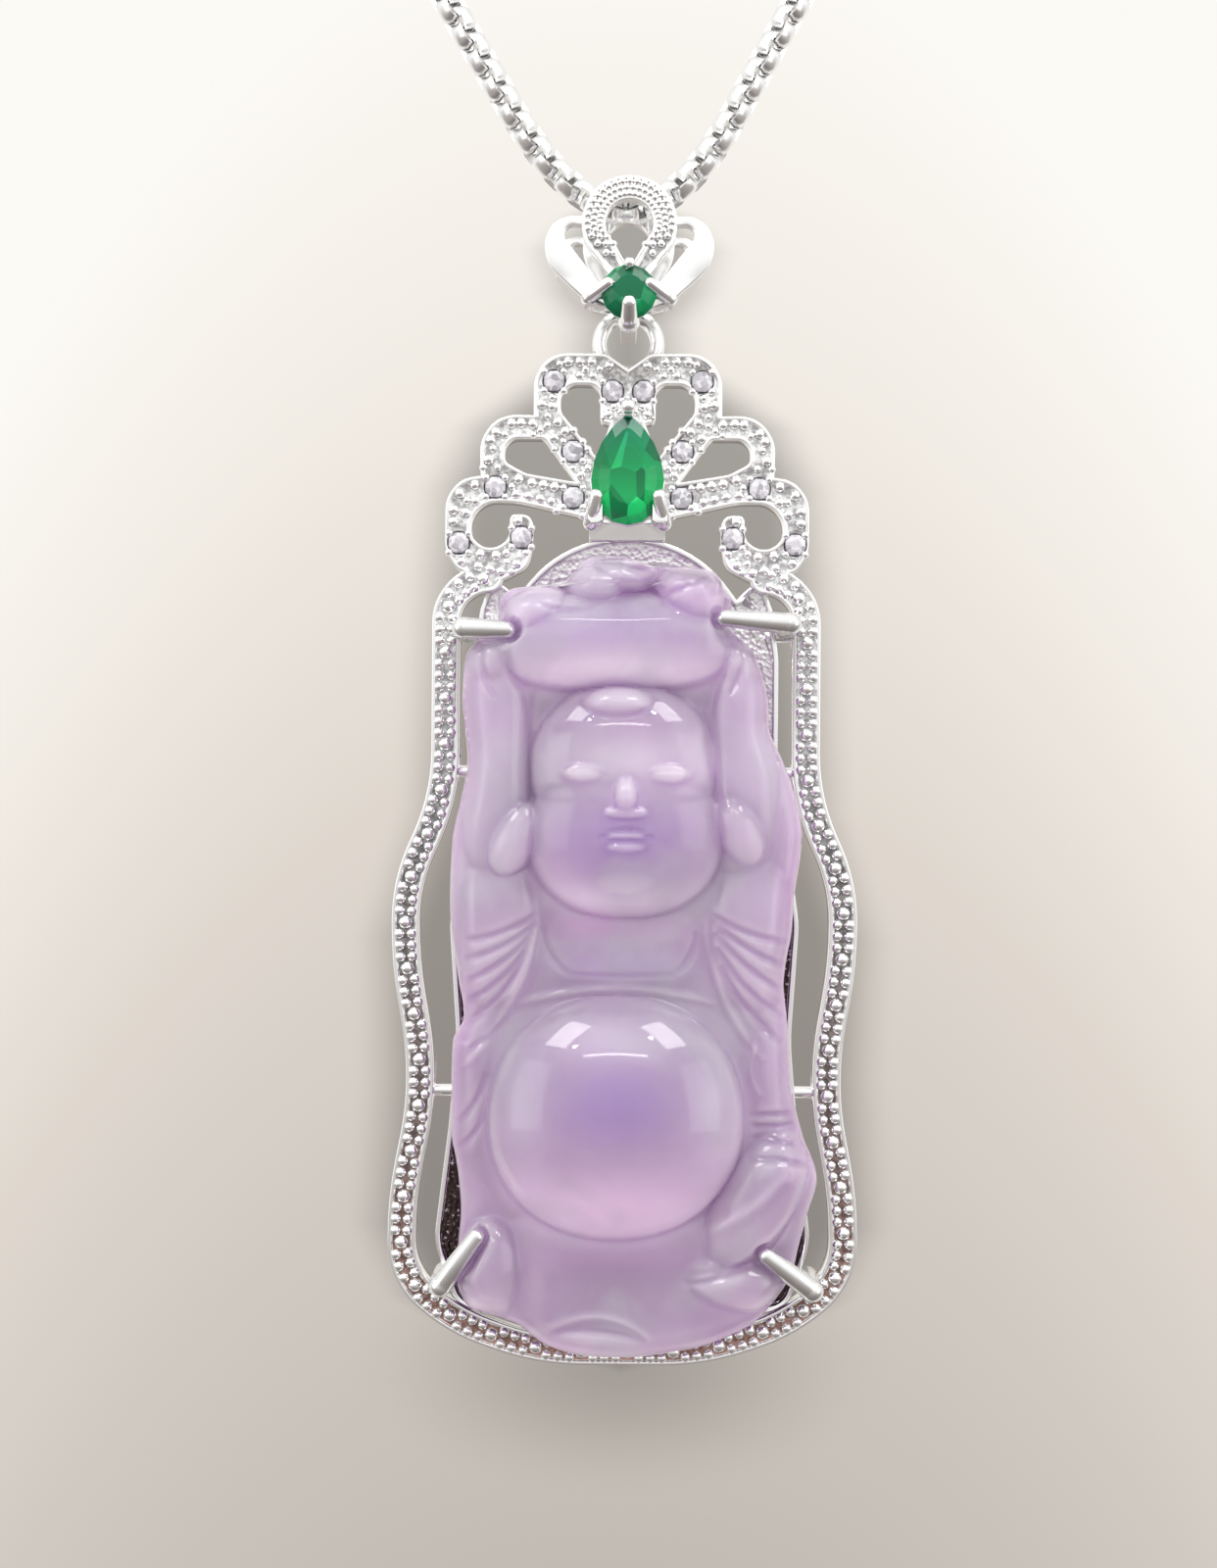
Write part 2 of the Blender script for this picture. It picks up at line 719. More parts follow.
tray_silver, tree, surface = new_finish("tray_silver")
place, axes = coordinates(tree)
plate_tones = colour_steps(
    tree,
    stretched(tree, axes["Z"], -0.1500, -0.1440),
    [(0.0, (0.055, 0.036, 0.030)), (1.0, (0.92, 0.92, 0.91))],
)
pits = add_node(tree, "ShaderNodeTexVoronoi", {"Vector": place, "Scale": 4600.0})
specks = noise(tree, place, 4200.0, 2.0)
speckled_inputs = {
    "Fac": stretched(tree, specks, 0.60, 0.66, 0.0, 0.75),
    "Color1": plate_tones,
    "Color2": (0.85, 0.82, 0.80, 1.0),
}
speckled = add_node(tree, "ShaderNodeMixRGB", speckled_inputs)
tray = {
    "Base Color": speckled.outputs["Color"],
    "Metallic": 0.7,
    "Roughness": stretched(tree, specks, 0.0, 1.0, 0.25, 0.45),
    "Normal": bumped(tree, pits.outputs["Distance"], 0.8),
}
fill_inputs(tree, surface, tray)

setting_body = finished_copy("setting", "setting_body", 0.04 * mm, polished_silver)
setting_body.data.materials.append(recess_silver)
setting_body.data.materials.append(tray_silver)
for face in setting_body.data.polygons:
    if face.normal.y > -0.95:
        continue
    if abs(face.center.y - grain_floor_front) < same_level:
        face.material_index = 1
    if abs(face.center.y - tray_plate_front) < same_level:
        face.material_index = 2
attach(setting_body, "pendant")

# Grains of the rail: silver beads cut and raised along the rail's sunk floor, two side by side
# three times over and then one larger, all the way round.
rail_route = [
    # across and down, in shares of the rail's half width and its height
    (0.624, 0.000),
    (0.817, 0.004),
    (0.817, 0.283),
    (0.991, 0.395),
    (0.991, 0.495),
    (0.921, 0.610),
    (0.921, 0.686),
    (1.000, 0.804),
    (1.000, 0.903),
    (0.757, 0.962),
    (0.374, 1.000),
]
grain_pitch = 0.585 * mm
paired_grain_dia = 0.58 * mm
single_grain_dia = 0.76 * mm
pair_reach = 0.30 * mm


def even_steps(line, step, closed=False):
    """Even places along a line of close points, each with the line's left-hand normal."""
    points = np.array(line + line[:1] if closed else line, float)
    lengths = np.hypot(*np.diff(points, axis=0).T)
    run = np.concatenate([[0.0], np.cumsum(lengths)])
    count = max(2, int(round(run[-1] / step)))
    marks = (np.arange(count) + 0.5) * run[-1] / count
    places = []
    for mark in marks:
        i = min(int(np.searchsorted(run, mark)) - 1, len(lengths) - 1)
        i = max(i, 0)
        share = (mark - run[i]) / max(lengths[i], 1e-12)
        run_x, run_z = (points[i + 1] - points[i]) / max(lengths[i], 1e-12)
        x, z = points[i] + share * (points[i + 1] - points[i])
        places.append((x, z, -run_z, run_x))
    return places


def rounded_line(corners, closed=False, spacing=0.05 * mm):
    """Close points along a run of corners (x, z, radius), each corner rounded by an arc."""
    count = len(corners)
    line = []
    for i, (x, z, radius) in enumerate(corners):
        here = Vector((x, z))
        before = Vector(corners[i - 1][:2])
        after = Vector(corners[(i + 1) % count][:2])
        ends = not closed and i in (0, count - 1)
        if ends or radius <= 0:
            line.append((x, z))
            continue
        run_in = (before - here).normalized()
        run_out = (after - here).normalized()
        half = run_in.angle(run_out) / 2
        if half > math.radians(89.5):
            line.append((x, z))
            continue
        middle = here + (run_in + run_out).normalized() * (radius / math.sin(half))
        first = here + run_in * (radius / math.tan(half)) - middle
        last = here + run_out * (radius / math.tan(half)) - middle
        sweep = math.atan2(first.x * last.y - first.y * last.x, first.dot(last))
        steps = max(2, int(abs(sweep) * radius / spacing))
        for k in range(steps + 1):
            turn = Matrix.Rotation(sweep * k / steps, 2)
            point = middle + turn @ first
            line.append((point.x, point.y))
    return line


right_rail = [(x * rail_half, ring_top.z - crown_drop - z * rail_height) for x, z in rail_route]
rail_corners = right_rail + [(-x, z) for x, z in reversed(right_rail)]
rail_radii = [0.0]
for i in range(1, len(rail_corners) - 1):
    before, here, after = (Vector(p) for p in rail_corners[i - 1:i + 2])
    half_turn = (here - before).angle(after - here) / 2
    reach_in = (here - before).length * (2 if i == 1 else 1)
    reach_out = (after - here).length * (2 if i == len(rail_corners) - 2 else 1)
    rail_radii.append(0.48 * min(reach_in, reach_out) / math.tan(half_turn))
rail_radii.append(0.0)
rail_line = rounded_line([(x, z, r) for (x, z), r in zip(rail_corners, rail_radii)])

rail_grains = []
for i, (x, z, normal_x, normal_z) in enumerate(even_steps(rail_line, grain_pitch)):
    if i % 4 == 3:
        rail_grains.append((x, z, single_grain_dia))
        continue
    for reach in (-pair_reach, pair_reach):
        rail_grains.append((x + normal_x * reach, z + normal_z * reach, paired_grain_dia))
grains_of_rail = grain_field("rail_grains", rail_grains, grain_floor_front)
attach(grains_of_rail, "pendant")

# Grains of the crown: silver beads raised in rows along the crown's edges and holes, four at the
# corners of each clear stone, and smaller ones between them. The top by the ring has none, so
# that the bail has room when the pendant swings forward.
crown_outline = [
    (0.000, 0.211, 0.000),
    (0.119, 0.152, 0.070),
    (0.518, 0.152, 0.130),
    (0.518, 0.387, 0.000),
    (0.817, 0.378, 0.138),
    (0.807, 0.616, 0.000),
    (1.000, 0.626, 0.126),
    (1.000, 0.904, 0.140),
    (0.932, 0.970, 0.055),
    (0.686, 1.009, 0.037),
    (0.542, 0.959, 0.070),
    (0.518, 0.874, 0.140),
    (0.518, 0.759, 0.041),
    (0.645, 0.759, 0.022),
    (0.645, 0.885, 0.069),
    (0.858, 0.885, 0.069),
    (0.858, 0.713, 0.096),
    (0.607, 0.713, 0.400),
    (0.206, 0.774, 0.000),
]
crown_top_hole = [
    (0.371, 0.267, 0.063),
    (0.152, 0.267, 0.044),
    (0.152, 0.411, 0.020),
    (0.097, 0.416, 0.000),
    (0.124, 0.467, 0.000),
    (0.173, 0.541, 0.000),
    (0.371, 0.374, 0.070),
]
crown_side_hole = [
    (0.676, 0.473, 0.052),
    (0.460, 0.473, 0.026),
    (0.284, 0.637, 0.000),
    (0.563, 0.605, 0.140),
    (0.676, 0.563, 0.037),
]
clear_stones = [
    (0.407, 0.256),
    (0.086, 0.293),
    (0.301, 0.520),
    (0.726, 0.657),
    (0.298, 0.694),
    (0.926, 0.867),
    (0.581, 0.845),
]
stone_places = [(x * crown_reach, -z * crown_drop) for x, z in clear_stones]
clear_stone_dia = 1.1 * mm
corner_grain_dia = 0.44 * mm
corner_reach = clear_stone_dia / 2 + 0.14 * mm
crown_grain_dia = 0.58 * mm
crown_grain_step = 0.60 * mm
crown_inset = 0.43 * mm
crown_grain_share = 0.40
crown_stone_room = 0.78 * mm
crown_middle_room = 0.16 * mm
fill_grain_dia = 0.46 * mm
fill_step = 0.24 * mm
fill_top = 1.4 * mm
fill_inset = 0.38 * mm
fill_grain_share = 0.42
fill_stone_room = 0.74 * mm
pear_half_room = 2.0 * mm
pear_room_top = -5.2 * mm
pear_room_foot = -11.4 * mm
swing_room_half = 0.9 * mm
swing_room_foot = -3.6 * mm


def crown_line(shares, closed):
    corners = [(x * crown_reach, -z * crown_drop, r * crown_drop) for x, z, r in shares]
    return rounded_line(corners, closed)


def lies_inside(line, x, z):
    """Whether a place lies inside a closed line."""
    inside = False
    for (x_1, z_1), (x_2, z_2) in zip(line, line[1:] + line[:1]):
        if (z_1 > z) != (z_2 > z) and x < x_1 + (z - z_1) * (x_2 - x_1) / (z_2 - z_1):
            inside = not inside
    return inside


outer_line = crown_line(crown_outline, False)
top_hole_line = crown_line(crown_top_hole, True)
side_hole_line = crown_line(crown_side_hole, True)
outer_closed = outer_line + [(0.0, outer_line[-1][1]), (0.0, outer_line[0][1])]
edge_points = np.array(outer_line + top_hole_line + side_hole_line)
right_grains = []


def on_metal(x, z):
    in_hole = lies_inside(top_hole_line, x, z) or lies_inside(side_hole_line, x, z)
    return lies_inside(outer_closed, x, z) and not in_hole


def has_room(x, z, dia, grain_share, stone_room):
    """Whether a grain stays clear of the grains made so far, the clear stones and the pear."""
    for grain_x, grain_z, grain_dia in right_grains:
        if math.hypot(x - grain_x, z - grain_z) < grain_share * (grain_dia + dia):
            return False
    for stone_x, stone_z in stone_places:
        if math.hypot(x - stone_x, z - stone_z) < stone_room:
            return False
    return abs(x) >= pear_half_room or not pear_room_foot < z < pear_room_top


for stone_x, stone_z in stone_places:
    for i in range(4):
        turn = math.radians(45 + 90 * i)
        grain_x = stone_x + corner_reach * math.cos(turn)
        grain_z = stone_z + corner_reach * math.sin(turn)
        right_grains.append((grain_x, grain_z, corner_grain_dia))
for line, closed in ((outer_line, False), (top_hole_line, True), (side_hole_line, True)):
    for line_x, line_z, normal_x, normal_z in even_steps(line, crown_grain_step, closed):
        for inset in (crown_inset, -crown_inset):
            x, z = line_x + normal_x * inset, line_z + normal_z * inset
            if x < crown_middle_room or not on_metal(x, z):
                continue
            if has_room(x, z, crown_grain_dia, crown_grain_share, crown_stone_room):
                right_grains.append((x, z, crown_grain_dia))
for row in range(-2, 54):
    for column in range(1, 42):
        x = (column + 0.5 * (row % 2)) * fill_step
        z = -row * fill_step - fill_top
        if np.hypot(edge_points[:, 0] - x, edge_points[:, 1] - z).min() < fill_inset:
            continue
        roomy = has_room(x, z, fill_grain_dia, fill_grain_share, fill_stone_room)
        if roomy and on_metal(x, z):
            right_grains.append((x, z, fill_grain_dia))
crown_grains = []
for x, z, dia in right_grains:
    if x > swing_room_half or z < swing_room_foot:
        crown_grains += [(x, ring_top.z + z, dia), (-x, ring_top.z + z, dia)]
grains_of_crown = grain_field("crown_grains", crown_grains, grain_floor_front)
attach(grains_of_crown, "pendant")

# Prongs of the pear: two stout silver prongs at its foot and a round bead at its point, soldered
# to the pear's collet and pressed over the stone.
pear_drop = 5.27 * mm
pear_width = 3.7 * mm
pear_length = 5.56 * mm
pear_face = ring_top.y - metal_thick / 2 - 0.5 * mm - 0.15 * pear_width
pear_foot = ring_top.z - pear_drop - pear_length
pear_prong_places = [
    (
        (side * pear_width * 0.50, pear_face + 0.55 * mm, pear_foot + 0.10 * mm),
        (side * pear_width * 0.425, pear_face - 0.12 * mm, pear_foot + 0.25 * pear_length),
        0.78 * mm,
        0.72 * mm,
    )
    for side in (-1, 1)
]
pear_prong_places.append(
    (
        (0.0, pear_face + 0.60 * mm, ring_top.z - pear_drop + 0.50 * mm),
        (0.0, pear_face - 0.06 * mm, ring_top.z - pear_drop + 0.34 * mm),
        0.80 * mm,
        0.78 * mm,
    )
)
pear_prongs = smooth_prongs("pear_prongs", pear_prong_places, polished_silver)
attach(pear_prongs, "pendant")

# Claws: four round tapered silver wires with round ends, soldered to the back of the rail and
# bent over the jade's edge to hold it.
jade_half = 9.2 * mm
claws = [
    # side, then the base across and down in the rail's shares, then the tip across in the jade's
    # shares and down in the rail's
    (-1, 0.726, 0.069, 0.641, 0.0714),
    (1, 0.726, 0.061, 0.522, 0.0548),
    (-1, 0.806, 0.903, 0.787, 0.838),
    (1, 0.842, 0.906, 0.775, 0.860),
]
claw_base_dia = 1.1 * mm
claw_tip_dia = 0.80 * mm
claw_bend_front = metal_thick / 2 + 2.30 * mm
claw_tip_fall = 0.40 * mm
claw_silver = silver_finish("claw_silver", (0.80, 0.80, 0.80), 0.24, 0.12, 700.0)
claw_rods = []
for side, base_across, base_down, tip_across, tip_down in claws:
    base_x = side * base_across * rail_half
    base_z = ring_top.z - crown_drop - base_down * rail_height
    tip_z = ring_top.z - crown_drop - tip_down * rail_height
    bend_y = ring_top.y - claw_bend_front
    foot = (base_x, ring_top.y + metal_thick / 2 - claw_base_dia / 2, base_z)
    bend = (base_x, bend_y, base_z)
    tip = (side * tip_across * jade_half, bend_y - claw_tip_fall, tip_z)
    claw_rods.append((foot, bend, claw_base_dia * 1.01, claw_base_dia * 1.01))
    claw_rods.append((bend, tip, claw_base_dia * 1.01, claw_tip_dia * 1.02))
smooth_claws = smooth_prongs("claws", claw_rods, claw_silver)
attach(smooth_claws, "pendant")

# Clear crown stones: fourteen small round stones, cut from clear colourless glass, let into the
# crown and held by the grains at their corners.
clear_tones = [
    (0.0, (0.30, 0.28, 0.32)),
    (0.40, (0.62, 0.60, 0.65)),
    (0.85, (0.90, 0.89, 0.92)),
]
clear_glass = cut_stone_finish(
    "clear_glass", clear_tones, 4200.0, (1.0, 0.2, 1.0), 0.10, 0.0, 1.0, even_shade
)
for number in range(1, 15):
    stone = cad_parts[f"clear_stone_{number:02d}"]
    stone.data.materials.clear()
    stone.data.materials.append(clear_glass)

# Jade: the carved figure, one polished piece of translucent lavender jade with a flat back and
# rolled edges, laid in the tray under the claws. Its lengths here are in millimetres, and its
# forms and lines in shares of its half width and its height.
jade_height = 40.2
jade_width = 18.4
jade_depth = 6.0
jade_edge = 1.3
jade_roll = 1.3
jade_back_inset = 1.15
jade_slab = 0.40
line_depth = 0.7
claw_gap = 0.18
claw_slope = 4.0
form_blend = 0.22
jade_top = -12.5
jade_back = -0.25
jade_outline = [
    (0.000, -0.200, 0.010),
    (0.007, -0.250, 0.065),
    (0.015, -0.280, 0.440),
    (0.026, -0.315, 0.505),
    (0.034, -0.365, 0.525),
    (0.039, -0.600, 0.535),
    (0.045, -0.665, 0.555),
    (0.056, -0.695, 0.570),
    (0.087, -0.705, 0.565),
    (0.097, -0.745, 0.605),
    (0.107, -0.815, 0.655),
    (0.121, -0.870, 0.700),
    (0.148, -0.890, 0.745),
    (0.180, -0.893, 0.775),
    (0.216, -0.880, 0.785),
    (0.252, -0.865, 0.855),
    (0.283, -0.880, 0.910),
    (0.338, -0.935, 0.965),
    (0.369, -0.947, 0.960),
    (0.424, -0.955, 0.925),
    (0.467, -0.945, 0.912),
    (0.528, -0.905, 0.873),
    (0.577, -0.876, 0.890),
    (0.604, -0.932, 0.900),
    (0.663, -0.940, 0.920),
    (0.724, -0.936, 0.985),
    (0.758, -0.910, 1.048),
    (0.780, -0.897, 1.060),
    (0.819, -0.885, 1.010),
    (0.859, -0.900, 0.965),
    (0.895, -0.914, 0.925),
    (0.922, -0.880, 0.852),
    (0.939, -0.825, 0.795),
    (0.949, -0.690, 0.755),
    (0.960, -0.565, 0.695),
    (0.975, -0.480, 0.560),
    (0.987, -0.390, 0.405),
    (0.996, -0.250, 0.165),
    (1.000, -0.100, 0.030),
]
jade_forms = [
    # across, down, half_width, half_height, level, rise, tilt, square
    (-0.715, 0.262, 0.205, 0.150, 0.36, 0.21, 0, 2.4),
    (0.640, 0.262, 0.200, 0.150, 0.36, 0.21, 0, 2.4),
    (-0.745, 0.125, 0.150, 0.048, 0.34, 0.20, -14, 2.2),
    (0.650, 0.125, 0.150, 0.048, 0.34, 0.20, 14, 2.2),
    (-0.690, 0.470, 0.240, 0.098, 0.34, 0.19, 0, 2.6),
    (0.690, 0.470, 0.240, 0.098, 0.34, 0.19, 0, 2.6),
    (-0.790, 0.662, 0.160, 0.110, 0.32, 0.15, 0, 2.2),
    (0.800, 0.662, 0.150, 0.095, 0.32, 0.15, 0, 2.2),
    (-0.010, 0.492, 0.440, 0.060, 0.34, 0.14, 0, 3.2),
    (-0.043, 0.697, 0.785, 0.168, 0.38, 0.13, 0, 2.2),
    (-0.043, 0.696, 0.696, 0.151, 0.44, 0.56, 0, 2.1),
    (-0.730, 0.890, 0.205, 0.072, 0.35, 0.27, 6, 2.0),
    (0.720, 0.800, 0.215, 0.105, 0.37, 0.29, 30, 2.2),
    (0.600, 0.900, 0.300, 0.034, 0.38, 0.22, 10, 2.2),
    (-0.030, 0.905, 0.760, 0.112, 0.38, 0.14, 0, 2.2),
    (-0.170, 0.966, 0.250, 0.020, 0.34, 0.17, 4, 2.0),
    (-0.600, 0.352, 0.120, 0.048, 0.46, 0.17, 24, 2.0),
    (0.610, 0.338, 0.120, 0.048, 0.46, 0.17, -24, 2.0),
    (-0.010, 0.262, 0.505, 0.104, 0.42, 0.36, 0, 2.1),
    (0.000, 0.346, 0.535, 0.104, 0.42, 0.42, 0, 2.1),
    (-0.040, 0.186, 0.200, 0.022, 0.54, 0.22, 0, 2.0),
    (-0.075, 0.106, 0.640, 0.060, 0.45, 0.27, 0, 2.7),
    (-0.500, 0.068, 0.180, 0.026, 0.48, 0.23, -20, 2.2),
    (0.350, 0.046, 0.190, 0.032, 0.48, 0.25, 24, 2.2),
    (-0.170, 0.038, 0.150, 0.022, 0.50, 0.19, 10, 2.0),
    (-0.020, 0.024, 0.170, 0.026, 0.42, 0.24, 0, 2.0),
]
face_forms = [
    (0.000, 0.300, 0.075, 0.026, 0.74, 0.16, 0, 2.0),
    (0.000, 0.319, 0.130, 0.010, 0.76, 0.11, 0, 2.0),
    (-0.215, 0.270, 0.110, 0.012, 0.72, 0.08, 0, 2.0),
    (0.215, 0.270, 0.110, 0.012, 0.72, 0.08, 0, 2.0),
    (0.000, 0.345, 0.140, 0.007, 0.78, 0.09, 0, 2.0),
    (0.000, 0.360, 0.115, 0.008, 0.78, 0.09, 0, 2.0),
    (0.000, 0.398, 0.170, 0.020, 0.70, 0.08, 0, 2.0),
]
jade_lines = [
    # across_1, down_1, across_2, down_2, bow, width, depth (below zero: a raised fold)
    (-0.480, 0.446, -0.860, 0.478, 0.06, 0.020, 0.040),
    (-0.480, 0.456, -0.870, 0.502, 0.06, 0.022, 0.050),
    (-0.490, 0.466, -0.870, 0.530, 0.06, 0.022, 0.050),
    (-0.500, 0.478, -0.860, 0.556, 0.06, 0.022, 0.050),
    (-0.520, 0.492, -0.870, 0.586, 0.06, 0.022, 0.045),
    (-0.640, 0.572, -0.870, 0.616, 0.08, 0.020, 0.035),
    (-0.740, 0.640, -0.900, 0.705, 0.08, 0.020, 0.035),
    (-0.750, 0.692, -0.900, 0.737, 0.08, 0.020, 0.035),
    (0.470, 0.444, 0.890, 0.478, -0.06, 0.020, 0.040),
    (0.480, 0.452, 0.900, 0.510, -0.06, 0.022, 0.050),
    (0.490, 0.465, 0.890, 0.542, -0.06, 0.022, 0.050),
    (0.500, 0.484, 0.870, 0.574, -0.06, 0.022, 0.050),
    (0.520, 0.505, 0.860, 0.604, -0.06, 0.022, 0.045),
    (-0.470, 0.450, -0.880, 0.636, 0.08, 0.022, -0.035),
    (-0.440, 0.462, -0.310, 0.517, -0.12, 0.018, 0.035),
    (0.430, 0.450, 0.760, 0.625, -0.08, 0.022, -0.035),
    (0.385, 0.466, 0.280, 0.517, 0.12, 0.018, 0.035),
    (-0.330, 0.518, 0.290, 0.518, -0.02, 0.016, 0.022),
    (-0.620, 0.560, 0.500, 0.556, 0.080, 0.022, -0.050),
    (0.740, 0.668, 0.730, 0.600, 0.16, 0.020, -0.030),
    (0.676, 0.694, 0.930, 0.692, 0.05, 0.018, 0.040),
    (0.688, 0.707, 0.940, 0.709, 0.05, 0.018, 0.040),
    (0.693, 0.721, 0.930, 0.727, 0.05, 0.018, 0.035),
    (0.654, 0.744, 1.020, 0.757, 0.08, 0.020, 0.040),
    (0.440, 0.834, 0.873, 0.757, -0.06, 0.034, -0.028),
    (0.326, 0.900, 0.940, 0.815, -0.10, 0.026, 0.060),
    (0.348, 0.889, 0.670, 0.879, 0.05, 0.018, 0.030),
    (-0.409, 0.958, 0.155, 0.968, 0.18, 0.020, -0.035),
    (-0.400, 0.962, 0.120, 0.970, 0.06, 0.018, 0.035),
    (-0.780, 0.107, -0.710, 0.178, -0.08, 0.020, 0.040),
    (-0.642, 0.120, -0.560, 0.168, -0.08, 0.020, 0.040),
    (0.623, 0.115, 0.556, 0.173, 0.08, 0.020, 0.040),
    (-0.520, 0.058, -0.170, 0.064, -0.12, 0.020, 0.040),
    (0.090, 0.050, 0.430, 0.026, -0.10, 0.020, 0.045),
    (-0.490, 0.167, -0.510, 0.310, -0.05, 0.020, 0.030),
    (0.418, 0.167, 0.540, 0.320, -0.05, 0.020, 0.030),
    (-0.150, 0.350, 0.150, 0.350, 0.14, 0.014, 0.030),
    (-0.320, 0.272, -0.110, 0.274, 0.16, 0.012, 0.024),
    (0.110, 0.274, 0.320, 0.272, 0.16, 0.012, 0.024),
]
half_width = jade_width / 2


def smooth_edge(down, column):
    """The left or right edge of the jade at given levels, on a smooth curve through the table."""
    table = np.array(jade_outline)
    levels, values = table[:, 0], table[:, column]
    before = np.concatenate([[0], np.arange(len(levels) - 1)])
    beyond = np.concatenate([np.arange(1, len(levels)), [len(levels) - 1]])
    spans = np.maximum(levels[beyond] - levels[before], 1e-9)
    slopes = (values[beyond] - values[before]) / spans
    i = np.clip(np.searchsorted(levels, down) - 1, 0, len(levels) - 2)
    step = levels[i + 1] - levels[i]
    share = np.clip((down - levels[i]) / step, 0, 1)
    rise = values[i + 1] - values[i]
    limit = 3 * np.abs(rise)
    slope_in = np.clip(slopes[i] * step, -limit, limit)
    slope_out = np.clip(slopes[i + 1] * step, -limit, limit)
    s_2, s_3 = share**2, share**3
    return (
        (2 * s_3 - 3 * s_2 + 1) * values[i]
        + (s_3 - 2 * s_2 + share) * slope_in
        + (3 * s_2 - 2 * s_3) * values[i + 1]
        + (s_3 - s_2) * slope_out
    )


def carve_form(height, x, down, form, blend):
    """Raises one rounded form on the height field, with a small fillet where it joins."""
    across, level_down, wide, tall, level, rise, tilt, square = form
    dx = x - across * half_width
    dz = (level_down - down) * jade_height
    cos_t, sin_t = math.cos(math.radians(tilt)), math.sin(math.radians(tilt))
    along = np.abs(dx * cos_t - dz * sin_t) / (wide * half_width)
    up = np.abs(dx * sin_t + dz * cos_t) / (tall * jade_height)
    reach = (along**square + up**square) ** (1 / square)
    dome = np.where(reach < 1, np.maximum(1 - reach * reach, 0) ** 0.6, 3 * (1 - reach))
    other = jade_depth * (level + rise * dome)
    soft = np.maximum(blend - np.abs(height - other), 0)
    return np.maximum(height, other) + soft * soft / (4 * blend)


def carve_line(height, x, down, line):
    """Cuts one carved line into the height field."""
    x_1, down_1, x_2, down_2, bow, width, depth = line
    start_x, start_z = x_1 * half_width, -down_1 * jade_height
    run_x, run_z = x_2 * half_width - start_x, -down_2 * jade_height - start_z
    length = math.hypot(run_x, run_z)
    place_x, place_z = x - start_x, -down * jade_height - start_z
    share = (place_x * run_x + place_z * run_z) / length**2
    off = (place_z * run_x - place_x * run_z) / length - bow * length * 4 * share * (1 - share)
    fade = np.sin(math.pi * np.clip(share, 0, 1)) ** 0.5
    groove = np.exp(-((off / (width * half_width)) ** 2))
    return height - line_depth * depth * jade_depth * fade * groove


jade_columns = 190
jade_rows = 400
bpy.ops.object.select_all(action="DESELECT")
bpy.ops.mesh.primitive_grid_add(x_subdivisions=jade_columns, y_subdivisions=jade_rows, size=2.0)
jade = start_piece("jade_figure")
flat = np.zeros(len(jade.data.vertices) * 3)
jade.data.vertices.foreach_get("co", flat)
flat = flat.reshape(-1, 3)
down = (1 - flat[:, 1]) / 2
share = (1 + flat[:, 0]) / 2
share = 0.35 * (0.5 - 0.5 * np.cos(math.pi * share)) + 0.65 * share
left_edge = smooth_edge(down, 1) * half_width
right_edge = smooth_edge(down, 2) * half_width
x = left_edge + (right_edge - left_edge) * share
z = -down * jade_height

# The distance of each point from the rim, along which the edge is rolled.
fine_down = np.linspace(0, 1, 4000)
flat_ends = np.abs(flat[:, 1]) > 0.9999
rim_sides = [np.column_stack([x[flat_ends], z[flat_ends]])]
for column in (1, 2):
    side_x = smooth_edge(fine_down, column) * half_width
    rim_sides.append(np.column_stack([side_x, -fine_down * jade_height]))
rim = np.concatenate(rim_sides).tolist()
rim_tree = KDTree(len(rim))
for number, (rim_x, rim_z) in enumerate(rim):
    rim_tree.insert((rim_x, rim_z, 0.0), number)
rim_tree.balance()
edge_room = np.array([rim_tree.find((px, pz, 0.0))[2] for px, pz in zip(x.tolist(), z.tolist())])

height = np.full(len(x), jade_slab * jade_depth)
for form in jade_forms + face_forms:
    height = carve_form(height, x, down, form, form_blend)
for line in jade_lines:
    height = carve_line(height, x, down, line)
inward = np.minimum(edge_room / jade_roll, 1)
height = jade_edge + (height - jade_edge) * np.sqrt(1 - (1 - inward) ** 2)

# Hollows that keep the stone clear of the claws.
room = np.full(len(x), 1e9)
top_offset = crown_drop / mm + jade_top
for side, base_across, base_down, tip_across, tip_down in claws:
    bend_x = side * base_across * rail_half / mm
    bend_z = -base_down * rail_height / mm - top_offset
    tip_x = side * tip_across * half_width
    tip_z = -tip_down * rail_height / mm - top_offset
    run_x, run_z = tip_x - bend_x, tip_z - bend_z
    along = ((x - bend_x) * run_x + (z - bend_z) * run_z) / (run_x**2 + run_z**2)
    along = np.clip(along, 0, 1)
    off = np.hypot(x - bend_x - along * run_x, z - bend_z - along * run_z)
    radius = (claw_base_dia + along * (claw_tip_dia - claw_base_dia)) / 2 / mm
    under = radius - (claw_bend_front + along * claw_tip_fall) / mm
    slope = claw_slope * np.maximum(off - radius - 0.10, 0)
    room = np.minimum(room, jade_back - under - claw_gap + slope)
height = np.maximum(np.minimum(height, room), jade_edge * 0.8)


def tone(red, green, blue):
    """A colour as seen, 0 to 255, in the linear values that a shader works with."""
    seen = np.array([red, green, blue]) / 255
    return np.where(seen < 0.0405, seen / 12.92, ((seen + 0.055) / 1.055) ** 2.4)


def blurred(field, passes):
    """A height field softened by passes of neighbour averages."""
    soft = field.reshape(jade_rows + 1, jade_columns + 1)
    for _ in range(passes):
        soft = np.pad(soft, 1, mode="edge")
        soft = (soft[:-2, 1:-1] + soft[2:, 1:-1] + soft[1:-1, :-2] + soft[1:-1, 2:]) / 4
    return soft.ravel()


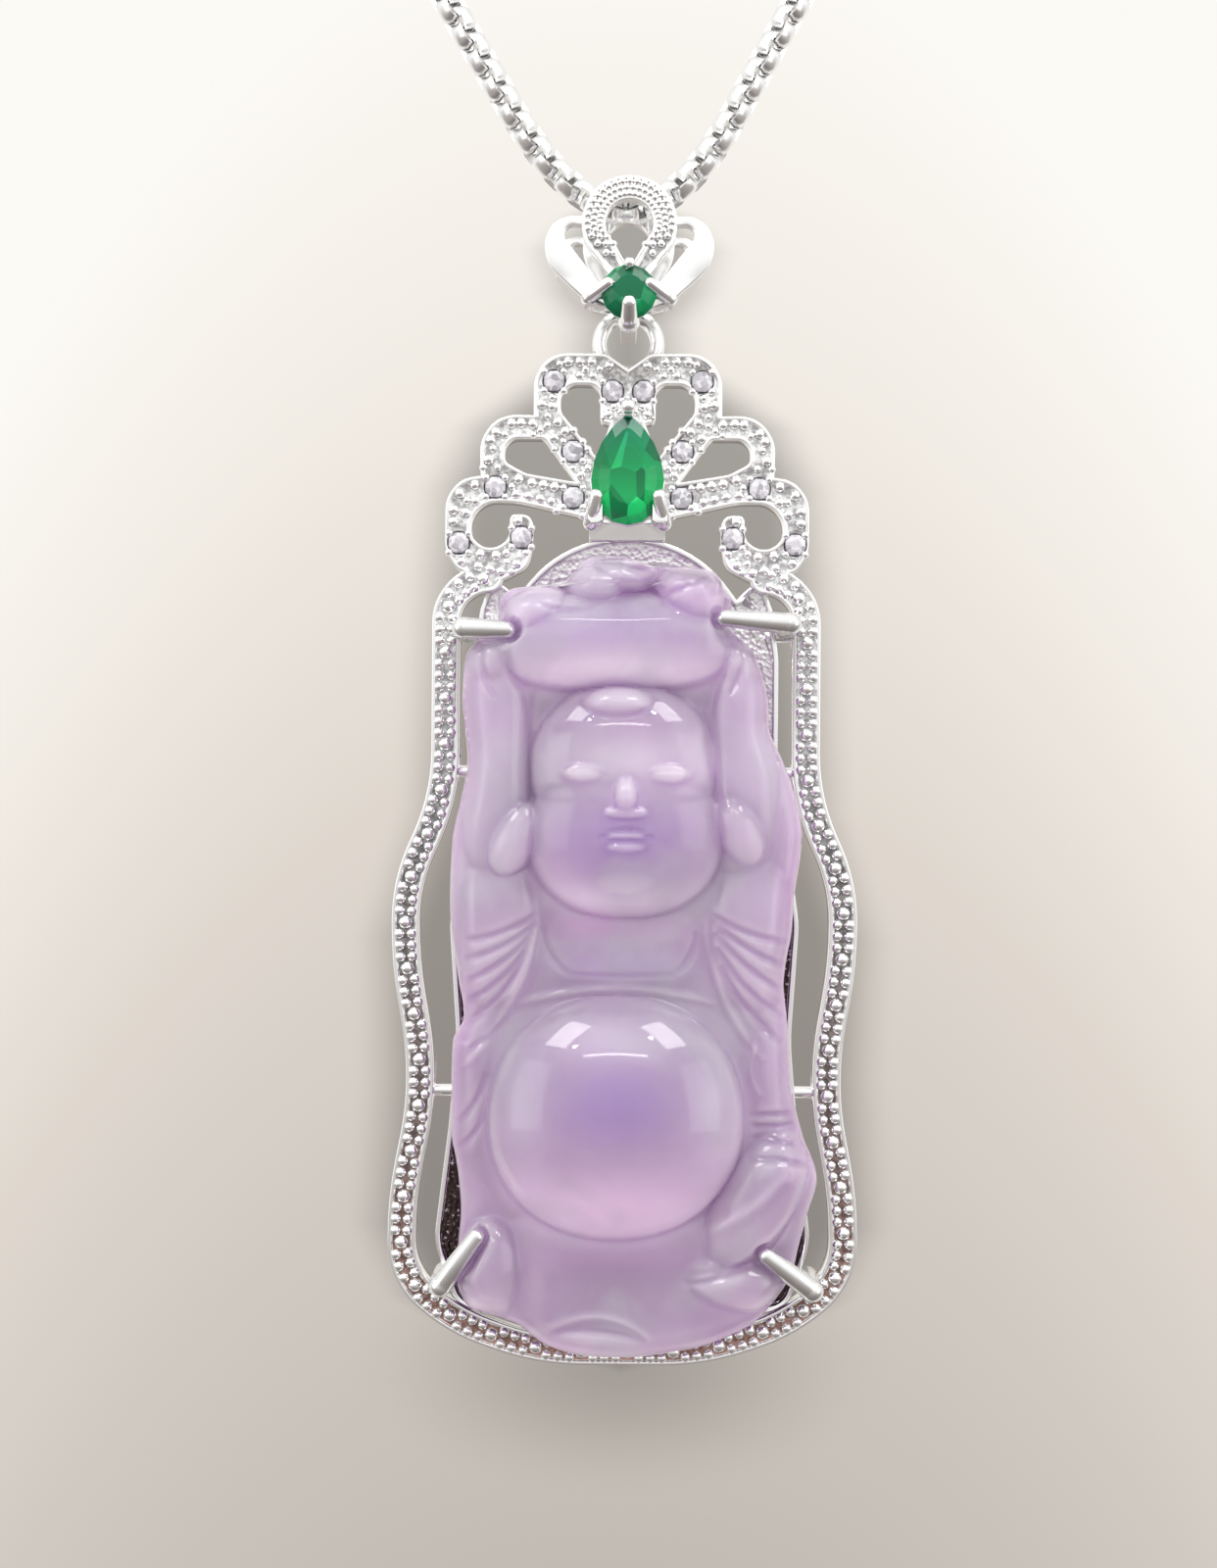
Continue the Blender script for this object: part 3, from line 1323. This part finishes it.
broad_height = blurred(height, 60)
grid_drop = np.gradient(broad_height.reshape(jade_rows + 1, jade_columns + 1), axis=0).ravel()
faces_down = np.clip(grid_drop / (jade_height / jade_rows), -1.5, 1.5)
fine_relief = height - blurred(height, 10)
ridge = np.clip(fine_relief / 0.05, 0, 1)
crease = np.clip(-fine_relief / 0.05, 0, 1)
hollow = np.clip((blurred(height, 40) - height) / 0.20, 0, 1)

violet = tone(172, 142, 202)
lilac = tone(204, 182, 224)
grey_lilac = tone(186, 168, 192)
milk = tone(210, 196, 218)
dusk = tone(160, 138, 166)
rose = tone(238, 208, 238)
pale_rose = tone(246, 232, 250)
magenta = tone(216, 166, 220)
ridge_tone = tone(240, 226, 240)
hollow_tone = tone(218, 198, 220)
jade_tones = [
    # across, down, half_width, half_height, tone, strength
    (-0.72, 0.300, 0.22, 0.170, milk, 0.55),
    (0.72, 0.320, 0.22, 0.190, milk, 0.55),
    (-0.07, 0.085, 0.60, 0.035, lilac, 0.80),
    (-0.06, 0.146, 0.50, 0.026, pale_rose, 1.0),
    (0.00, 0.262, 0.42, 0.036, pale_rose, 0.80),
    (0.00, 0.352, 0.40, 0.055, violet, 0.70),
    (0.00, 0.424, 0.42, 0.020, pale_rose, 0.70),
    (0.02, 0.458, 0.36, 0.018, magenta, 1.0),
    (0.00, 0.510, 0.38, 0.025, lilac, 0.80),
    (-0.72, 0.520, 0.22, 0.110, grey_lilac, 0.50),
    (0.72, 0.520, 0.22, 0.110, grey_lilac, 0.50),
    (-0.04, 0.588, 0.42, 0.036, pale_rose, 0.75),
    (-0.55, 0.665, 0.14, 0.080, milk, 0.85),
    (0.47, 0.650, 0.14, 0.080, milk, 0.85),
    (-0.03, 0.668, 0.32, 0.050, violet, 0.90),
    (-0.04, 0.795, 0.56, 0.042, rose, 0.95),
    (0.70, 0.800, 0.20, 0.080, grey_lilac, 0.70),
    (-0.70, 0.900, 0.18, 0.050, grey_lilac, 0.70),
    (-0.04, 0.872, 0.50, 0.016, magenta, 0.45),
    (-0.47, 0.905, 0.06, 0.040, rose, 0.50),
    (0.00, 0.920, 0.50, 0.030, grey_lilac, 0.60),
    (-0.20, 0.960, 0.30, 0.025, grey_lilac, 0.60),
    (-0.90, 0.560, 0.10, 0.080, magenta, 0.35),
    (0.90, 0.420, 0.10, 0.080, magenta, 0.35),
    (-0.82, 0.665, 0.15, 0.100, dusk, 0.50),
    (0.84, 0.680, 0.14, 0.090, dusk, 0.40),
    (-0.70, 0.900, 0.18, 0.050, dusk, 0.45),
    (0.68, 0.870, 0.26, 0.070, dusk, 0.45),
    (-0.02, 0.885, 0.44, 0.020, dusk, 0.40),
]
paint = np.tile(tone(194, 168, 201), (len(x), 1))
for across, level_down, wide, tall, shade_tone, strength in jade_tones:
    weight = strength * np.exp(
        -(((x / half_width - across) / wide) ** 2) - ((down - level_down) / tall) ** 2
    )
    paint += (shade_tone - paint) * weight[:, None]
by_form = [
    (rose, 0.22 * np.clip(faces_down, 0, 1)),
    (violet, 0.22 * np.clip(-faces_down, 0, 1)),
    (magenta, 0.50 * np.exp(-((edge_room / 0.4) ** 2))),
    (ridge_tone, 0.30 * ridge),
]
for shade_tone, weight in by_form:
    paint += (shade_tone - paint) * weight[:, None]
paint *= (0.75 * (1 + 0.30 * faces_down))[:, None]
for shade_tone, weight in ((hollow_tone, 0.38 * hollow), (violet, 0.10 * crease)):
    paint += (shade_tone - paint) * weight[:, None]

shaped = np.column_stack([x, jade_back - height, z + jade_top]) * mm + np.array(ring_top)
jade_paint = jade.data.color_attributes.new("jade_tones", "FLOAT_COLOR", "POINT")
tones_and_alpha = np.column_stack([paint, np.ones(len(x))]).astype(np.float32)
jade_paint.data.foreach_set("color", tones_and_alpha.ravel())
jade.data.vertices.foreach_set("co", shaped.ravel())
jade.data.update()
select_only(jade)
bpy.ops.object.mode_set(mode="EDIT")
bpy.ops.mesh.select_mode(type="VERT")
bpy.ops.mesh.select_all(action="SELECT")
bpy.ops.mesh.region_to_loop()
bpy.ops.mesh.extrude_edges_move()
bpy.ops.object.mode_set(mode="OBJECT")
middle = Vector((0, 0, ring_top.z + (jade_top - jade_height / 2) * mm))
back_ring = [v for v in jade.data.vertices if v.select]
for v in back_ring:
    v.co.x *= 1 - jade_back_inset / half_width
    v.co.z = middle.z + (v.co.z - middle.z) * (1 - 2 * jade_back_inset / jade_height)
    v.co.y = ring_top.y + jade_back * mm
bpy.ops.object.mode_set(mode="EDIT")
bpy.ops.mesh.edge_face_add()
bpy.ops.mesh.select_all(action="SELECT")
bpy.ops.mesh.normals_make_consistent(inside=False)
bpy.ops.object.mode_set(mode="OBJECT")
bpy.ops.object.shade_smooth_by_angle(angle=math.radians(60))

jade_stone, tree, surface = new_finish("lavender_jade")
tones = add_node(tree, "ShaderNodeAttribute", attribute_name="jade_tones").outputs["Color"]
place = add_node(tree, "ShaderNodeTexCoord").outputs["Object"]
milky_inputs = {
    "Fac": stretched(tree, noise(tree, place, 190.0, 3.0, 0.6), 0.48, 0.66, 0.0, 0.50),
    "Color1": tones,
    "Color2": (0.47, 0.43, 0.51, 1.0),
}
milky_tones = add_node(tree, "ShaderNodeMixRGB", milky_inputs).outputs["Color"]
cloud_light = stretched(tree, noise(tree, place, 220.0, 4.0), 0.3, 0.7, 0.92, 1.06)
clouded = add_node(
    tree, "ShaderNodeVectorMath", {0: milky_tones, "Scale": cloud_light}, operation="SCALE"
)
jade_surface = {
    "Base Color": clouded.outputs["Vector"],
    "Roughness": 0.06,
    "IOR": 1.66,
    "Subsurface Weight": 1.0,
    "Subsurface Scale": 5.0 * mm,
    "Subsurface Radius": (1.0, 0.90, 1.0),
}
fill_inputs(tree, surface, jade_surface)
jade.data.materials.append(jade_stone)
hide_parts("jade_buddha")
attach(jade, "pendant")

low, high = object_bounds()
